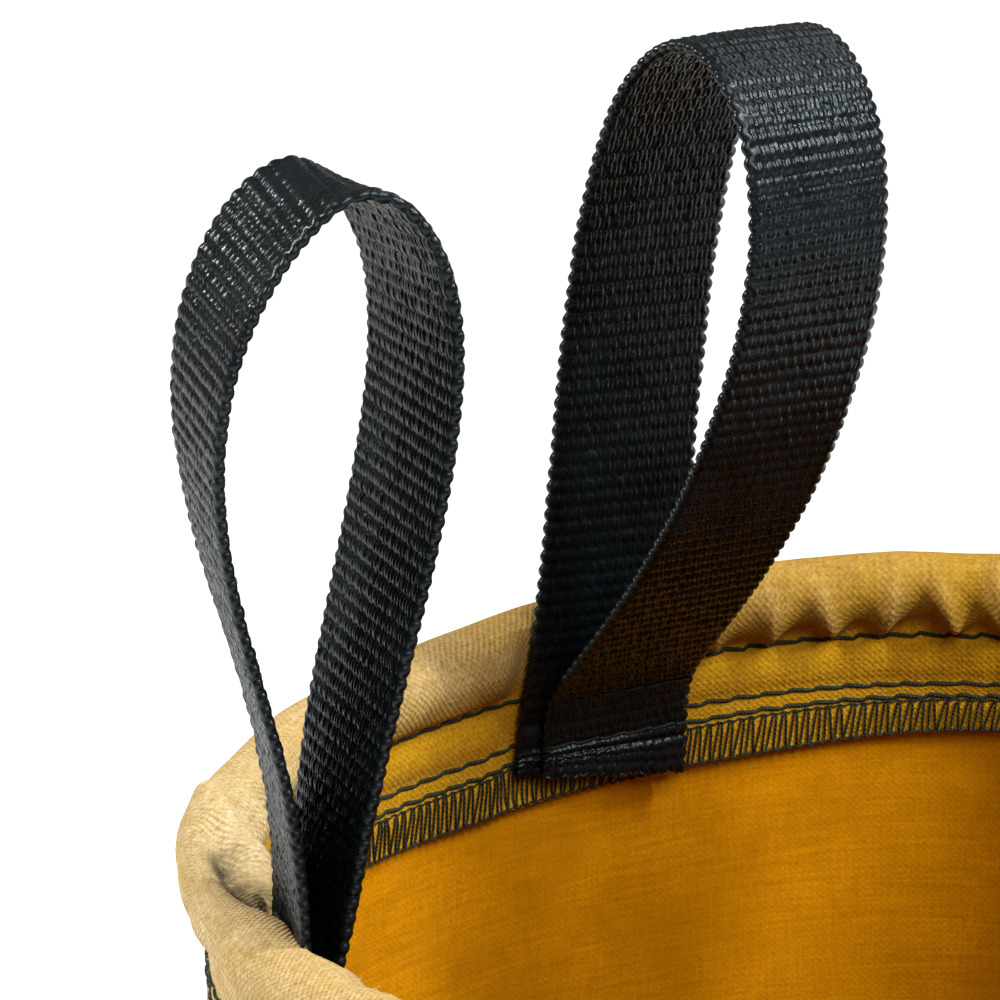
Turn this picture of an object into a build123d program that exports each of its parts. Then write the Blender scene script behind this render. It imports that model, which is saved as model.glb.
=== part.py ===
"""Soft tool bucket organizer: a round canvas bucket with a rolled rim, four webbing hanging loops,
pockets and tool sleeves outside, pockets inside and a stiffened base.

Frame: origin at the centre of the underside, +Z up.  The pockets face +X, +Y, -X and -Y.  The loops
stand in two pairs, 38.5 degrees each side of +X and each side of -X.
Units are millimetres and degrees.
"""

import os
from math import cos, radians, sin, sqrt, tan

from build123d import *

os.makedirs("parts", exist_ok=True)

# ---- driving dimensions -------------------------------------------------------------------
bucket_height = 254.0
wall_outer_radius = 107.0
canvas_thickness = 1.5
sewing_gap = 0.2  # air left between two sewn layers, so that no faces coincide

# rolled rim and its hem
roll_radius = 5.5
roll_overhang = 4.4  # how far the roll stands out past the wall
hem_depth = 32.5  # rim top to the hem's raw edge
hem_gap = 0.3
hem_layer = 1.4
hoop_radius = 2.4
row_depths = (12.2, 21.8, 25.0)  # the three rows of stitching, below the rim top
thread_radius = 0.35

# webbing loops
web_width = 25.4
web_thickness = 1.6
tab_top_depth = 14.5
tab_bottom_depth = 31.5
fold_line_depth = 11.0  # the line that a loop folds about, below the rim top
fold_line_radius = 97.6
pair_half_angle = 38.5  # the two loops of a pair, each side of the X axis
leg_rise = 9.0  # the outer leg goes straight up past the roll for this far
top_bend = 16.0
side_bend = 60.0

# base
binding_height = 18.0
binding_thickness = 1.4
board_thickness = 3.0
board_radius = 103.0
lining_thickness = 1.2

# pockets: half_angle is where a pocket's front meets the wall, depth is its fullness
flange_angle = 3.5
pocket_cloth = 1.4
tape_thickness = 0.8
tape_height = 12.0
tape_clearance = 0.05
outer_pocket = {"half_angle": 27.0, "depth": 18.0, "floor": 28.0, "top": 158.0}
tool_sleeve = {"half_angle": 9.5, "depth": 16.0, "floor": 28.0, "top": 138.0}
inner_pocket = {"half_angle": 24.0, "depth": 13.5, "floor": 60.0, "top": 160.0}
seam_tape_width = 16.0

# ---- derived sizes ------------------------------------------------------------------------
wall_inner_radius = wall_outer_radius - canvas_thickness
roll_centre_r = wall_outer_radius + roll_overhang - roll_radius
roll_centre_z = bucket_height - roll_radius
roll_cavity = roll_radius - canvas_thickness
hem_outer_radius = wall_inner_radius - hem_gap
hem_inner_radius = hem_outer_radius - hem_layer
hem_edge_z = bucket_height - hem_depth
outer_sew_radius = wall_outer_radius + sewing_gap
inner_sew_radius = wall_inner_radius - sewing_gap
side_names = ("right", "back", "left", "front")  # +X, +Y, -X, -Y
corner_names = ("back_right", "back_left", "front_left", "front_right")


def save(part, name):
    """Label a finished piece and write it under its node name."""
    part.label = name
    export_step(part, f"parts/{name}.step")


def on_roll(radius, r):
    """The point below the roll's centre where a circle of this radius about it reaches r."""
    return (r, roll_centre_z - sqrt(radius**2 - (r - roll_centre_r) ** 2))


def turned(plane, angle):
    """A plane turned about the bucket's upright axis."""
    return plane.rotated((0, 0, angle))


def wedge(half_angle, reach):
    """Add a triangle from the bucket's axis out to reach, this many degrees each side of +X."""
    half_width = reach * tan(radians(half_angle))
    Polygon((0, 0), (reach, -half_width), (reach, half_width), align=None)


# ---- wall, rolled rim and hem: one sheet of canvas, turned over the hoop and down inside ----
with BuildPart() as wall_panel:
    with BuildSketch(Plane.XZ):
        with BuildLine():
            outside_foot = on_roll(roll_radius, wall_outer_radius)
            inside_foot = on_roll(roll_radius, hem_inner_radius)
            hem_back = on_roll(roll_cavity, hem_outer_radius)
            wall_back = on_roll(roll_cavity, wall_inner_radius)
            Line((wall_outer_radius, 0), outside_foot)
            ThreePointArc(outside_foot, (roll_centre_r, bucket_height), inside_foot)
            Polyline(
                inside_foot,
                (hem_inner_radius, hem_edge_z),
                (hem_outer_radius, hem_edge_z),
                hem_back,
            )
            ThreePointArc(hem_back, (roll_centre_r, roll_centre_z + roll_cavity), wall_back)
            Polyline(wall_back, (wall_inner_radius, 0), (wall_outer_radius, 0))
        make_face()
    revolve(axis=Axis.Z)
save(wall_panel.part, "wall_panel")

# flexible hoop that keeps the mouth open inside the roll
with BuildPart() as rim_hoop:
    with BuildSketch(Plane.XZ):
        with Locations((roll_centre_r, roll_centre_z)):
            Circle(hoop_radius)
    revolve(axis=Axis.Z)
save(rim_hoop.part, "rim_hoop")

# the rows of lockstitch that hold the hem, as they lie on the outside of the wall
with BuildPart() as rim_thread:
    with BuildSketch(Plane.XZ):
        for depth in row_depths:
            with Locations((wall_outer_radius + thread_radius + 0.05, bucket_height - depth)):
                Circle(thread_radius)
    revolve(axis=Axis.Z)
save(rim_thread.part, "rim_thread")

# ---- base: canvas disc, stiffening board, lining disc and the tape round the foot ----------
with BuildPart() as bottom_panel:
    with BuildSketch():
        Circle(inner_sew_radius)
    extrude(amount=canvas_thickness)
save(bottom_panel.part, "bottom_panel")

board_z = canvas_thickness + 0.1
with BuildPart() as base_board:
    with BuildSketch(Plane.XY.offset(board_z)):
        Circle(board_radius)
    extrude(amount=board_thickness)
    fillet(base_board.edges(), 0.6)
save(base_board.part, "base_board")

lining_z = board_z + board_thickness + 0.1
with BuildPart() as bottom_lining:
    with BuildSketch(Plane.XY.offset(lining_z)):
        Circle(inner_sew_radius)
    extrude(amount=lining_thickness)
save(bottom_lining.part, "bottom_lining")

with BuildPart() as bottom_binding:
    with BuildSketch():
        Circle(wall_outer_radius + 0.1 + binding_thickness)
        Circle(wall_outer_radius + 0.1, mode=Mode.SUBTRACT)
    extrude(amount=binding_height)
save(bottom_binding.part, "bottom_binding")

# tape over the wall's one upright seam, on the inside
with BuildPart() as side_seam_tape:
    with BuildSketch(turned(Plane.XY.offset(lining_z + lining_thickness + 1.0), 45)):
        Circle(inner_sew_radius)
        Circle(inner_sew_radius - 1.1, mode=Mode.SUBTRACT)
        with Locations((wall_outer_radius, 0)):
            Rectangle(40, seam_tape_width, mode=Mode.INTERSECT)
    extrude(amount=hem_edge_z - 2.0 - (lining_z + lining_thickness + 1.0))
save(side_seam_tape.part, "side_seam_tape")


# ---- webbing loops ------------------------------------------------------------------------
# Centre line of each loop in its upright plane, as (out, up) from the fold line.  Two bends near
# the top, one part-way up each leg; the legs start side by side.
half_web = web_thickness / 2
loop_turns = {
    "back_right": pair_half_angle,
    "back_left": 180 - pair_half_angle,
    "front_left": 180 + pair_half_angle,
    "front_right": -pair_half_angle,
}
loop_shapes = {
    "back_right": [(12, 62), (10, 127), (-27, 127), (-24, 58)],
    "back_left": [(2, 62), (-3, 117), (-52, 115), (-42, 58)],
    "front_left": [(14, 62), (17, 129), (-22, 128), (-14, 58)],
    "front_right": [(7, 62), (5, 122), (-34, 122), (-30, 56)],
}

for corner in corner_names:
    turn = loop_turns[corner]

    # the two ends of the strap, one on the other, sewn to the inside of the hem
    with BuildPart() as loop_tab:
        with BuildSketch(turned(Plane.XY.offset(bucket_height - tab_bottom_depth), turn)):
            Circle(hem_inner_radius - 0.1)
            Circle(hem_inner_radius - 0.1 - 2 * web_thickness, mode=Mode.SUBTRACT)
            with Locations((wall_outer_radius, 0)):
                Rectangle(60, web_width, mode=Mode.INTERSECT)
        extrude(amount=tab_bottom_depth - tab_top_depth)
    save(loop_tab.part, f"loop_tab_{corner}")

    # the free loop, which bends at the fold line
    fold_line = (fold_line_radius, bucket_height - fold_line_depth)
    outline = [(half_web, 0), (half_web, leg_rise)] + loop_shapes[corner] + [(-half_web, 0)]
    centre_line = [(fold_line[0] + out, fold_line[1] + up) for out, up in outline]
    with BuildPart() as web_loop:
        with BuildSketch(turned(Plane.XZ, turn)):
            with BuildLine():
                loop_line = FilletPolyline(
                    *centre_line,
                    radius=[10.0, side_bend, top_bend, top_bend, side_bend],
                )
            trace(loop_line, line_width=web_thickness)
            with Locations(fold_line):
                Circle(web_thickness)
        extrude(amount=web_width / 2, both=True)
    save(web_loop.part, f"web_loop_{corner}")


# ---- pockets and sleeves on the outside -----------------------------------------------------
def front_circle(half_angle, depth):
    """Centre distance and radius of the round front that meets the wall at +-half_angle."""
    edge_r = outer_sew_radius + pocket_cloth
    edge = (edge_r * cos(radians(half_angle)), edge_r * sin(radians(half_angle)))
    rise = outer_sew_radius + depth - edge[0]
    radius = (edge[1] ** 2 + rise**2) / (2 * rise)
    return outer_sew_radius + depth - radius, radius


def outer_sheet(circle, edge_angle, grow):
    """Plan of an outside pocket's front and its two sewn edges, grown on both faces."""
    centre, radius = circle
    wedge(edge_angle, wall_outer_radius + 40)
    Circle(outer_sew_radius + pocket_cloth + grow, mode=Mode.INTERSECT)
    with Locations((centre, 0)):
        Circle(radius + grow)
        Circle(radius - pocket_cloth - grow, mode=Mode.SUBTRACT)
    Circle(outer_sew_radius, mode=Mode.SUBTRACT)


def outer_floor(circle):
    """Plan of an outside pocket's floor."""
    centre, radius = circle
    with Locations((centre, 0)):
        Circle(radius - pocket_cloth / 2)
    Circle(outer_sew_radius, mode=Mode.SUBTRACT)


# ---- pockets on the inside ------------------------------------------------------------------
def slack_circle():
    """Centre distance and radius of an inside pocket's front, a shallow arc towards the axis."""
    edge_r = inner_sew_radius - pocket_cloth
    half_chord = edge_r * sin(radians(inner_pocket["half_angle"]))
    front_r = wall_inner_radius - inner_pocket["depth"]
    rise = edge_r * cos(radians(inner_pocket["half_angle"])) - front_r
    radius = (half_chord**2 + rise**2) / (2 * rise)
    return front_r + radius, radius


def inner_sheet(circle, edge_angle, grow):
    """Plan of an inside pocket's front and its two sewn edges, grown on both faces."""
    centre, radius = circle
    wedge(edge_angle, wall_outer_radius)
    Circle(inner_sew_radius - pocket_cloth - grow, mode=Mode.SUBTRACT)
    with Locations((centre, 0)):
        Circle(radius + grow)
        Circle(radius - pocket_cloth - grow, mode=Mode.SUBTRACT)
    Circle(inner_sew_radius, mode=Mode.INTERSECT)


def inner_floor(circle):
    """Plan of an inside pocket's floor."""
    centre, radius = circle
    with Locations((centre, 0)):
        Circle(radius - pocket_cloth / 2)
    Circle(inner_sew_radius, mode=Mode.INTERSECT)


# ---- every pocket: a front with sewn edges, a closed floor, and tape over its top edge --------
def make_pocket(name, sizes, circle, sheet, floor, turn):
    edge_angle = sizes["half_angle"] + flange_angle
    floor_plane = turned(Plane.XY.offset(sizes["floor"]), turn)
    tape_plane = turned(Plane.XY.offset(sizes["top"] + tape_thickness - tape_height), turn)

    with BuildPart() as pocket:
        with BuildSketch(floor_plane):
            sheet(circle, edge_angle, 0)
        extrude(amount=sizes["top"] - sizes["floor"])
        with BuildSketch(floor_plane):
            floor(circle)
        extrude(amount=pocket_cloth)
    save(pocket.part, name.format("pocket"))

    with BuildPart() as tape:
        with BuildSketch(tape_plane):
            sheet(circle, edge_angle, tape_thickness)
        extrude(amount=tape_height)
        with BuildSketch(tape_plane):
            sheet(circle, edge_angle + 1, tape_clearance)
        extrude(amount=tape_height - tape_thickness + tape_clearance, mode=Mode.SUBTRACT)
    save(tape.part, name.format("tape"))


for index, side in enumerate(side_names):
    circle = front_circle(outer_pocket["half_angle"], outer_pocket["depth"])
    make_pocket(f"outer_{{}}_{side}", outer_pocket, circle, outer_sheet, outer_floor, 90 * index)
    make_pocket(f"inner_{{}}_{side}", inner_pocket, slack_circle(), inner_sheet, inner_floor, 90 * index)

for index, corner in enumerate(corner_names):
    circle = front_circle(tool_sleeve["half_angle"], tool_sleeve["depth"])
    make_pocket(f"sleeve_{{}}_{corner}", tool_sleeve, circle, outer_sheet, outer_floor, 90 * index + 45)
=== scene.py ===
from math import acos, cos, pi, radians, sin

import bpy
import numpy as np
from mathutils import Matrix, Vector


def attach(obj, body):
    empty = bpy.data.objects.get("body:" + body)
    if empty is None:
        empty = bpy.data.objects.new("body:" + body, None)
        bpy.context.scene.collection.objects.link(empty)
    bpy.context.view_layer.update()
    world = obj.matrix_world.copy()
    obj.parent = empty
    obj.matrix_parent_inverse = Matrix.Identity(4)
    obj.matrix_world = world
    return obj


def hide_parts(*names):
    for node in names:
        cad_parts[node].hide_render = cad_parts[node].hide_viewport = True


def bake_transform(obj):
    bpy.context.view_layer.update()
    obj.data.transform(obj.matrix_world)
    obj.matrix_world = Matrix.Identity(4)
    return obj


# Looks of the tool bucket organizer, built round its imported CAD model.
# Builders work in millimetres; meshes are made in metres.  +Z is up and the bucket stands on Z = 0.

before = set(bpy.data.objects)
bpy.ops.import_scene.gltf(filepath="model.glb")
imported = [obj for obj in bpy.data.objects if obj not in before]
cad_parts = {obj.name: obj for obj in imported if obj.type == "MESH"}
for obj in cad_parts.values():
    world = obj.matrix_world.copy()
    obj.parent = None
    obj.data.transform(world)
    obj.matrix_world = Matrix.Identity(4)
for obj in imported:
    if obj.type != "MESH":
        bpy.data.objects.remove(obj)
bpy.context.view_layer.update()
rng = np.random.default_rng(20)

# ---- sizes, millimetres ---------------------------------------------------------------------
HEIGHT = 254.0
ROLL = 5.5  # radius of the rolled rim
ROLL_Z = HEIGHT - ROLL
FOOT_RADIUS = 107.0  # outer face of the wall at the base
CLOTH = 1.5
WALL_OUT = 1.1  # wall's outer face, from the roll's centre line
HEM_IN = 2.1  # hem's face, inside the roll's centre line
HEM_DEPTH = 30.6
ROW_DEPTHS = (11.9, 20.1, 23.0)
WEB_WIDTH = 25.4
WEB_THICK = 1.6
RIB = 2.3  # pitch of the webbing's ribs
WEB_COLUMNS = 28
STRAP_STEP = RIB / 6  # spacing of the modelled rows along a strap
RIM_RADIUS = 106.0  # mean radius of the roll's centre line
HEM_RADIUS = 104.0
UP = np.array([0, 0, 1.0])

IN_ANGLE = pi + acos(HEM_IN / ROLL)
OUT_ANGLE = -acos(WALL_OUT / ROLL)
IN_RUN = ROLL * (IN_ANGLE - pi / 2)  # distance over the roll from its top to where the hem starts
OUT_RUN = ROLL * (pi / 2 - OUT_ANGLE)
IN_Z = ROLL_Z + ROLL * sin(IN_ANGLE)
OUT_Z = ROLL_Z + ROLL * sin(OUT_ANGLE)
HEM_RUN = IN_RUN + IN_Z - (HEIGHT - HEM_DEPTH)
ROWS_IN = [IN_RUN + IN_Z - (HEIGHT - d) for d in ROW_DEPTHS]
ROWS_OUT = [-(OUT_RUN + OUT_Z - (HEIGHT - d)) for d in ROW_DEPTHS]


# ---- small helpers --------------------------------------------------------------------------
def cubic(t):
    t = np.abs(t)
    return np.where(t < 1, 2 / 3 - t * t + t**3 / 2, np.where(t < 2, (2 - t) ** 3 / 6, 0.0))


def noise(x, y, around, seed):
    """Smooth random heights, about -1 to 1; x closes on itself after `around` cells."""
    table = np.random.default_rng(seed).uniform(-1, 1, (around, 97))
    x, y = np.broadcast_arrays(np.asarray(x, float), np.asarray(y, float))
    i, j = np.floor(x).astype(int), np.floor(y).astype(int)
    total = np.zeros(x.shape)
    for a in range(-1, 3):
        for b in range(-1, 3):
            total += table[(i + a) % around, (j + b) % 97] * cubic(x - i - a) * cubic(y - j - b)
    return 1.7 * total


def bell(x, centre, width):
    return np.exp(-(((x - centre) / width) ** 2))


def smooth(x, low, high):
    t = np.clip((x - low) / (high - low), 0, 1)
    return t * t * (3 - 2 * t)


def turn_gap(theta, centre):
    """Degrees from an angle, the short way round."""
    return (np.degrees(theta) - centre + 180) % 360 - 180


def unit(v):
    return v / np.maximum(np.linalg.norm(v, axis=-1, keepdims=True), 1e-9)


def polar(radius, theta, z):
    """Points from a radius, an angle round the bucket and a height."""
    return np.stack(np.broadcast_arrays(radius * np.cos(theta), radius * np.sin(theta), z), -1)


def run_along(path):
    """Distance along a line to each of its points."""
    return np.concatenate([[0], np.cumsum(np.linalg.norm(np.diff(path, axis=0), axis=1))])


def run_round(section):
    """Distance round a closed section to each of its points, and back to the first."""
    return run_along(np.vstack([section, section[:1]]))


def grid_quads(rows, columns, wrap_rows=False, wrap_columns=False):
    i = np.arange(rows if wrap_rows else rows - 1)
    j = np.arange(columns if wrap_columns else columns - 1)
    a, b = np.meshgrid(i, j, indexing="ij")
    c, d = (a + 1) % rows, (b + 1) % columns
    return np.stack([a * columns + b, c * columns + b, c * columns + d, a * columns + d], -1).reshape(-1, 4)


def grid_uv(u, v):
    """Corner coordinates of every quad of a grid, from one u for each row line and one v for each column line."""
    a, b = np.meshgrid(np.arange(len(u) - 1), np.arange(len(v) - 1), indexing="ij")
    corners = [(a, b), (a + 1, b), (a + 1, b + 1), (a, b + 1)]
    return np.stack([np.stack([u[i], v[j]], -1) for i, j in corners], -2).reshape(-1, 2)


def end_caps(rows, columns):
    """Quads over both ends of a sheet whose rings go out over one face and back over the other."""
    caps = []
    for row in (0, rows - 1):
        for k in range(columns // 2 - 1):
            near, far = row * columns + k, row * columns + columns - 1 - k
            caps.append([near, near + 1, far - 1, far])
    return np.array(caps)


def make_mesh(name, points, quads, material, uv=None, values=None):
    """A mesh piece from points in millimetres."""
    mesh = bpy.data.meshes.new(name)
    points = np.asarray(points, float).reshape(-1, 3)
    mesh.vertices.add(len(points))
    mesh.vertices.foreach_set("co", (points * 0.001).astype(np.float32).ravel())
    mesh.loops.add(quads.size)
    mesh.loops.foreach_set("vertex_index", quads.ravel().astype(np.int32))
    mesh.polygons.add(len(quads))
    mesh.polygons.foreach_set("loop_start", np.arange(0, quads.size, 4, dtype=np.int32))
    mesh.polygons.foreach_set("loop_total", np.full(len(quads), 4, np.int32))
    mesh.polygons.foreach_set("use_smooth", np.ones(len(quads), bool))
    if uv is not None:
        mesh.uv_layers.new(name="cloth").data.foreach_set("uv", uv.astype(np.float32).ravel())
    for key, value in (values or {}).items():
        layer = mesh.attributes.new(key, "FLOAT", "POINT")
        layer.data.foreach_set("value", np.asarray(value, np.float32).ravel())
    mesh.update(calc_edges=True)
    mesh.materials.append(material)
    piece = bpy.data.objects.new(name, mesh)
    bpy.context.scene.collection.objects.link(piece)
    return piece


class Bag:
    """Many small meshes gathered into one piece."""

    def __init__(self):
        self.points, self.quads, self.count = [], [], 0

    def add(self, points, quads):
        self.points.append(points.reshape(-1, 3))
        self.quads.append(quads + self.count)
        self.count += len(self.points[-1])

    def make(self, name, material):
        return make_mesh(name, np.concatenate(self.points), np.concatenate(self.quads), material)


def tube(path, normals, radius, sides=6, closed=False):
    """Points and quads of a round thread along a path; radius may vary along it."""
    if closed:
        along = np.roll(path, -1, 0) - np.roll(path, 1, 0)
    else:
        along = np.gradient(path, axis=0)
    along = unit(along)
    across = unit(np.cross(along, normals))
    over = np.cross(across, along)
    a = np.linspace(0, 2 * pi, sides, endpoint=False)[None, :, None]
    r = np.broadcast_to(np.asarray(radius, float), (len(path),))[:, None, None]
    ring = path[:, None] + r * (np.cos(a) * over[:, None] + np.sin(a) * across[:, None])
    return ring, grid_quads(len(path), sides, closed, True)


def follow(run, path, at):
    """Points of a path at these distances along it."""
    return np.stack([np.interp(at, run, path[:, k]) for k in range(3)], -1)


# ---- node materials -------------------------------------------------------------------------
class Nodes:
    """A short way to write shader graphs."""

    def __init__(self, name):
        self.material = bpy.data.materials.new(name)
        self.material.use_nodes = True
        self.tree = self.material.node_tree
        self.tree.nodes.clear()
        self.shader = self.tree.nodes.new("ShaderNodeBsdfPrincipled")
        out = self.tree.nodes.new("ShaderNodeOutputMaterial")
        self.tree.links.new(self.shader.outputs[0], out.inputs[0])

    def put(self, socket, value):
        if isinstance(value, bpy.types.NodeSocket):
            self.tree.links.new(value, socket)
        else:
            socket.default_value = value

    def set(self, **values):
        for key, value in values.items():
            self.put(self.shader.inputs[key.replace("_", " ")], value)

    def math(self, operation, *values):
        node = self.tree.nodes.new("ShaderNodeMath")
        node.operation = operation
        for socket, value in zip(node.inputs, values):
            self.put(socket, value)
        return node.outputs[0]

    def uv(self, scale_u=1.0, scale_v=1.0):
        """Cloth coordinates in millimetres, scaled, as a vector."""
        node = self.tree.nodes.new("ShaderNodeUVMap")
        node.uv_map = "cloth"
        return self.scaled(node.outputs[0], (scale_u, scale_v, 1))

    def place(self, scale=1.0):
        """Object coordinates in millimetres, scaled."""
        node = self.tree.nodes.new("ShaderNodeTexCoord")
        return self.scaled(node.outputs["Object"], (1000 * scale,) * 3)

    def scaled(self, vector, scale):
        node = self.tree.nodes.new("ShaderNodeVectorMath")
        node.operation = "MULTIPLY"
        self.put(node.inputs[0], vector)
        node.inputs[1].default_value = scale
        return node.outputs[0]

    def shifted(self, vector, offset):
        node = self.tree.nodes.new("ShaderNodeVectorMath")
        node.operation = "ADD"
        self.put(node.inputs[0], vector)
        self.put(node.inputs[1], offset)
        return node.outputs[0]

    def split(self, vector):
        node = self.tree.nodes.new("ShaderNodeSeparateXYZ")
        self.put(node.inputs[0], vector)
        return node.outputs[0], node.outputs[1], node.outputs[2]

    def noise(self, vector, scale, detail=3.0, rough=0.55, colour=False):
        node = self.tree.nodes.new("ShaderNodeTexNoise")
        self.put(node.inputs["Vector"], vector)
        node.inputs["Scale"].default_value = scale
        node.inputs["Detail"].default_value = detail
        node.inputs["Roughness"].default_value = rough
        return node.outputs["Color" if colour else "Fac"]

    def range(self, value, low, high, to_low=0.0, to_high=1.0):
        node = self.tree.nodes.new("ShaderNodeMapRange")
        self.put(node.inputs["Value"], value)
        for key, number in (("From Min", low), ("From Max", high), ("To Min", to_low), ("To Max", to_high)):
            node.inputs[key].default_value = number
        return node.outputs[0]

    def value(self, name):
        node = self.tree.nodes.new("ShaderNodeAttribute")
        node.attribute_name = name
        return node.outputs["Fac"]

    def mix(self, factor, a, b, blend="MIX"):
        node = self.tree.nodes.new("ShaderNodeMix")
        node.data_type = "RGBA"
        node.blend_type = blend
        self.put(node.inputs[0], factor)
        self.put(node.inputs[6], a if not isinstance(a, tuple) else (*a, 1))
        self.put(node.inputs[7], b if not isinstance(b, tuple) else (*b, 1))
        return node.outputs[2]

    def bump(self, height, distance, strength=1.0, under=None):
        node = self.tree.nodes.new("ShaderNodeBump")
        node.inputs["Strength"].default_value = strength
        node.inputs["Distance"].default_value = distance * 0.001
        self.put(node.inputs["Height"], height)
        if under is not None:
            self.put(node.inputs["Normal"], under)
        return node.outputs[0]


def canvas_material(name, inside):
    """Heavy cotton duck: slubby yarns and brushed patches; outside with painted highlight and random wear, inside a
    deeper copy with painted shade, smoother.
    """
    n = Nodes(name)
    cloth = n.uv()
    wander = n.shifted(cloth, n.scaled(n.noise(cloth, 0.5, 3, colour=True), (0.45, 0.45, 0)))
    u, v, _ = n.split(wander)
    yarn = 0.56
    across = n.math("SINE", n.math("MULTIPLY", u, pi / yarn))
    along = n.math("SINE", n.math("MULTIPLY", v, pi / yarn))
    weave = n.math("MULTIPLY", across, along)
    slub_u = n.noise(n.uv(0.16, 1.6), 1.0, 4)
    slub_v = n.noise(n.uv(1.6, 0.16), 1.0, 4)
    slubs = n.math("ADD", slub_u, slub_v)
    grain = n.noise(cloth, 1.5, 5, 0.75)
    brushed = n.noise(cloth, 0.62, 5, 0.7)
    patches = n.noise(cloth, 0.055, 4, 0.6)
    smudge = n.noise(cloth, 0.14, 4, 0.6)
    streak = n.noise(n.uv(0.05, 0.9), 1.0, 4, 0.65)
    speck = n.math("ADD", n.math("MULTIPLY", weave, 0.06), n.math("ADD", grain, n.math("MULTIPLY", slubs, 0.45)))
    if inside:
        speck = n.math("ADD", speck, n.math("MULTIPLY", streak, 0.7))
        # painted shade and bounce light: the inside is a darker, more saturated copy of the same cloth
        tone = n.mix(n.range(speck, 1.05, 1.5), (0.44, 0.162, 0.0006), (0.67, 0.268, 0.0020))
        tone = n.mix(n.range(patches, 0.35, 0.7, 0.0, 0.55), tone, (0.40, 0.15, 0.0005))
        tone = n.mix(n.range(smudge, 0.5, 0.75, 0.0, 0.35), tone, (0.34, 0.125, 0.0004))
        height = n.math("ADD", n.math("MULTIPLY", weave, 0.22), n.math("ADD", slubs, n.math("MULTIPLY", grain, 0.8)))
        n.set(Base_Color=tone, Roughness=0.97, Specular_IOR_Level=0.04, Normal=n.bump(height, 0.12, 0.6))
        return n.material
    plain = n.mix(n.range(speck, 0.72, 1.25), (0.15, 0.068, 0.002), (0.385, 0.205, 0.016))
    plain = n.mix(n.range(brushed, 0.5, 0.72, 0.0, 0.35), plain, (0.56, 0.345, 0.06))
    pale = n.mix(n.range(speck, 0.72, 1.25), (0.38, 0.242, 0.078), (0.80, 0.645, 0.385))
    pale = n.mix(n.range(brushed, 0.5, 0.72, 0.0, 0.5), pale, (0.90, 0.77, 0.52))
    # painted highlight mixed with random wear: pale where the rim is lit at the front-left and on fold crests, or
    # rubbed
    highlit_and_worn = n.mix(n.value("highlight_and_wear"), plain, pale)
    # painted shade: the inward-facing hem gets a deeper, more saturated copy of the cloth's tone
    hem = n.mix(n.range(speck, 0.74, 1.24), (0.29, 0.123, 0.001), (0.66, 0.337, 0.010))
    tone = n.mix(n.value("hem"), highlit_and_worn, hem)
    tone = n.mix(n.range(patches, 0.35, 0.7, 0.0, 0.4), tone, (0.44, 0.24, 0.015))
    tone = n.mix(n.range(smudge, 0.5, 0.75, 0.0, 0.3), tone, (0.33, 0.18, 0.015))
    # painted shade: near black in the groove beside the front-left strap
    tone = n.mix(n.value("groove_shade"), tone, (0.05, 0.04, 0.028))
    bare = n.range(n.value("highlight_and_wear"), 0.0, 1.0, 0.3, 1.25)
    height = n.math("ADD", n.math("MULTIPLY", weave, bare), n.math("ADD", slubs, n.math("MULTIPLY", grain, 0.9)))
    height = n.math("ADD", height, n.math("MULTIPLY", brushed, 0.4))
    n.set(Base_Color=tone, Roughness=0.94, Specular_IOR_Level=0.05, Sheen_Weight=0.04, Sheen_Roughness=0.5)
    n.set(Sheen_Tint=(1.0, 0.8, 0.5, 1))
    n.set(Normal=n.bump(height, 0.2, 0.8))
    return n.material


def nylon_material(name):
    """Black nylon webbing: bundles of fine glossy filaments along the strap."""
    n = Nodes(name)
    filaments = n.noise(n.uv(0.35, 6.0), 1.0, 3, 0.6)
    wear = n.noise(n.uv(), 0.09, 3)
    dust = n.noise(n.uv(), 2.4, 4, 0.75)
    tone = n.mix(n.range(wear, 0.35, 0.7), (0.0028, 0.0038, 0.0044), (0.0055, 0.0075, 0.0085))
    tone = n.mix(n.range(dust, 0.68, 0.82, 0.0, 0.25), tone, (0.035, 0.04, 0.042))
    beads = n.noise(n.uv(), 0.95, 2, 0.8)
    gloss = n.math("ADD", n.range(filaments, 0.3, 0.7, 0.11, 0.22), n.range(wear, 0.3, 0.7, -0.02, 0.06))
    gloss = n.math("ADD", gloss, n.range(beads, 0.35, 0.65, -0.03, 0.2))
    n.set(Base_Color=tone, Roughness=gloss, Specular_IOR_Level=0.24, Specular_Tint=(0.86, 0.96, 1.0, 1))
    n.set(Normal=n.bump(filaments, 0.05, 0.6))
    return n.material


def tape_material(name):
    """Black woven binding tape with fine ribs across it."""
    n = Nodes(name)
    u, v, _ = n.split(n.uv())
    ribs = n.math("SINE", n.math("MULTIPLY", u, 2 * pi / 1.1))
    cross = n.math("SINE", n.math("MULTIPLY", v, 2 * pi / 0.55))
    fibres = n.noise(n.uv(3.0, 0.8), 1.0, 3)
    height = n.math("ADD", n.math("ADD", ribs, n.math("MULTIPLY", cross, 0.25)), fibres)
    tone = n.mix(n.range(fibres, 0.3, 0.7), (0.008, 0.009, 0.011), (0.028, 0.030, 0.034))
    n.set(Base_Color=tone, Roughness=n.range(fibres, 0.3, 0.7, 0.5, 0.75), Specular_IOR_Level=0.4)
    n.set(Normal=n.bump(height, 0.09, 0.8))
    return n.material


def thread_material(name, tone_a, tone_b, rough):
    """Twisted bonded sewing thread."""
    n = Nodes(name)
    place = n.place()
    x, y, z = n.split(place)
    twist = n.math("SINE", n.math("MULTIPLY", n.math("ADD", n.math("ADD", x, y), z), 2 * pi / 0.75))
    grain = n.noise(place, 1.1, 3)
    n.set(Base_Color=n.mix(n.range(grain, 0.35, 0.65), tone_a, tone_b), Specular_IOR_Level=0.22)
    n.set(Roughness=n.range(grain, 0.3, 0.7, rough, rough + 0.2), Normal=n.bump(twist, 0.08, 0.7))
    return n.material


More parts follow.
